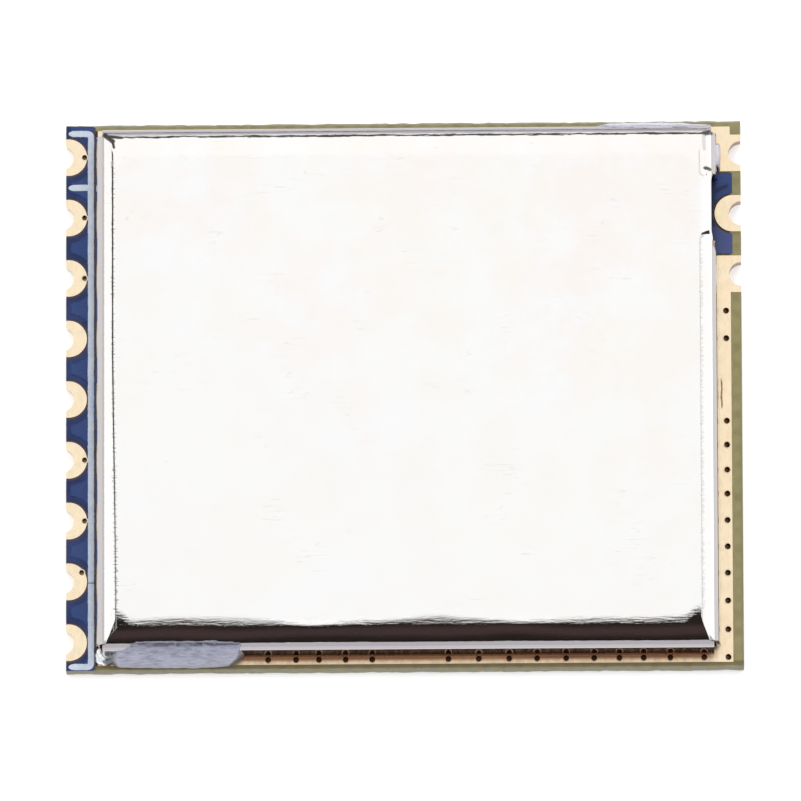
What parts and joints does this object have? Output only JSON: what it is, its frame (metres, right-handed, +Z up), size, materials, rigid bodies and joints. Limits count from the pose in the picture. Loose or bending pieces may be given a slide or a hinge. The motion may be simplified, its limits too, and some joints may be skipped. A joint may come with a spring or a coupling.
{
  "type": "video receiver module",
  "caption": "Shielded video receiver module: a castellated circuit board under a folded tinplate can, soldered flat to a carrier board by plated half-hole contacts.",
  "frame": {"origin": "middle of the underside, on the carrier board's plane", "axes": "+X from the pin row to the antenna edge, +Y to the back edge, +Z up through the can"},
  "size_m": [0.028, 0.023, 0.003],
  "materials": {
    "laminate": "matt glass-fibre laminate",
    "solder_mask": "glossy blue film",
    "ink": "matt printed ink",
    "gold_plating": "satin gold plating",
    "tinplate": "bright tinplate",
    "solder": "dull solder",
    "terminal_tin": "bright tin plating",
    "mould": "matt black moulding",
    "ceramic_tan": "fired ceramic",
    "ceramic_white": "fired ceramic"
  },
  "bodies": {
    "root": {"circuit_board": "laminate", "solder_mask_top": "solder_mask", "solder_mask_bottom": "solder_mask", "silkscreen_lines": "ink", "ground_ring": "gold_plating", "edge_contact_1": "gold_plating", "edge_contact_2": "gold_plating", "edge_contact_3": "gold_plating", "edge_contact_4": "gold_plating", "edge_contact_5": "gold_plating", "edge_contact_6": "gold_plating", "edge_contact_7": "gold_plating", "edge_contact_8": "gold_plating", "edge_contact_9": "gold_plating", "antenna_contact": "gold_plating", "shield_can": "tinplate", "solder_bead_front": "solder", "solder_bead_back": "solder", "solder_bead_side": "solder", "component_lands": "gold_plating", "receiver_chip_body": "mould", "receiver_chip_terminals": "terminal_tin", "filter_base": "ceramic_white", "filter_lid": "gold_plating", "crystal_base": "ceramic_tan", "crystal_lid": "terminal_tin", "regulator_body": "mould", "regulator_leads": "terminal_tin", "bulk_capacitor_bodies": "ceramic_tan", "bulk_capacitor_ends": "terminal_tin", "capacitor_bodies": "ceramic_tan", "capacitor_ends": "terminal_tin", "resistor_bodies": "mould", "resistor_ends": "terminal_tin", "inductor_bodies": "ceramic_white", "inductor_ends": "terminal_tin"}
  },
  "joints": []
}
